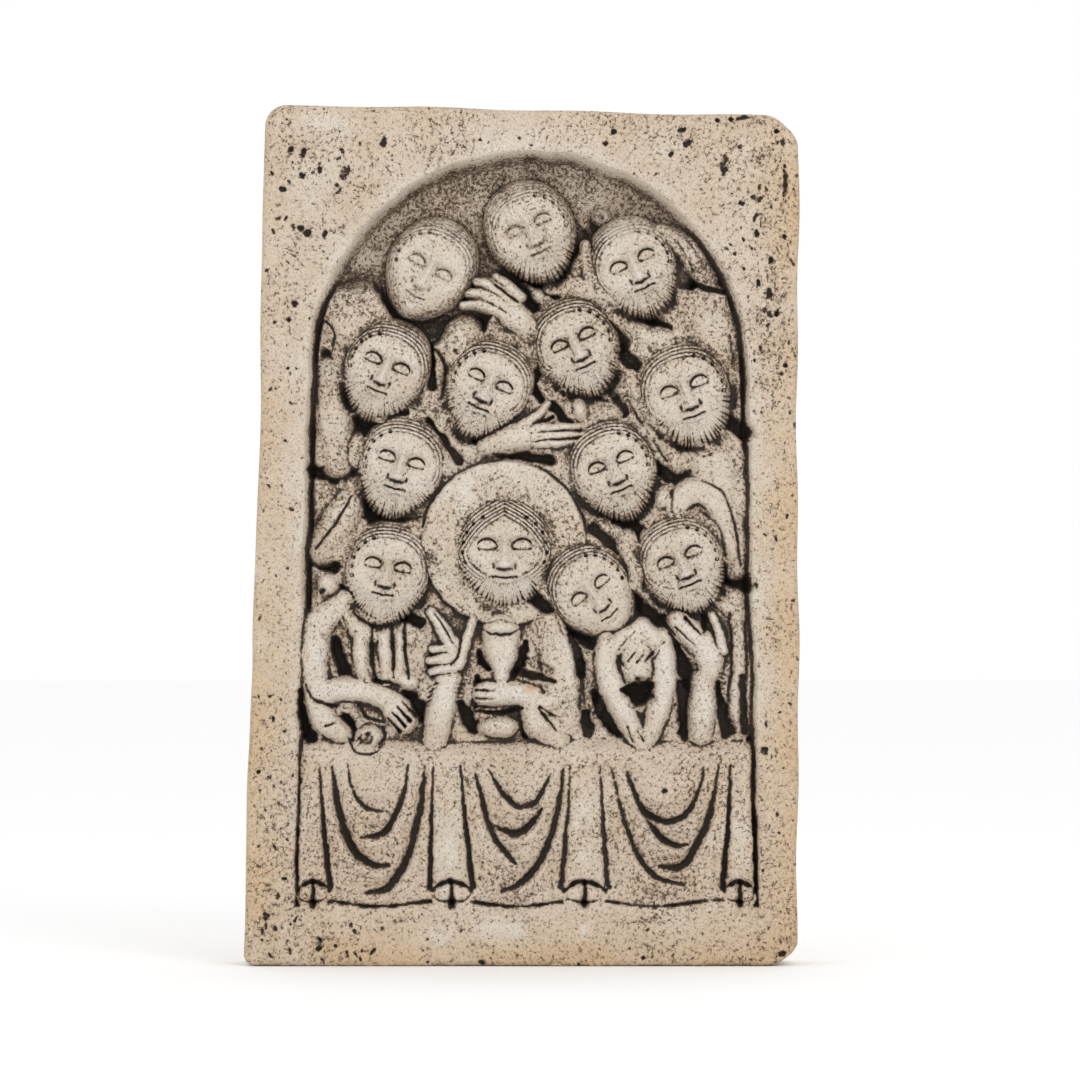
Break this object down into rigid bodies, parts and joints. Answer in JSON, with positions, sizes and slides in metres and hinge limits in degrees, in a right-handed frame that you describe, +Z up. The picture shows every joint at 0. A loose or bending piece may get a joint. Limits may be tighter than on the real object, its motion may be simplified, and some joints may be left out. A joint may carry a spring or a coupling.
{
  "type": "stone relief panel",
  "caption": "Upright cast stone wall panel with a plain border round an arched niche filled with a carved crowd of heads, hands, a halo and a draped table.",
  "frame": {"origin": "middle of the flat back, where the panel rests against the wall", "axes": "+Z up, +Y out of the back into the wall, the carved front faces -Y, +X to the viewer's right"},
  "size_m": [0.258, 0.0416, 0.3998],
  "materials": {
    "stone": "matt sandy cast stone, rubbed pale on the high places, with a dark brown wash in the recesses"
  },
  "bodies": {
    "root": {"relief_panel": "stone"}
  },
  "joints": []
}
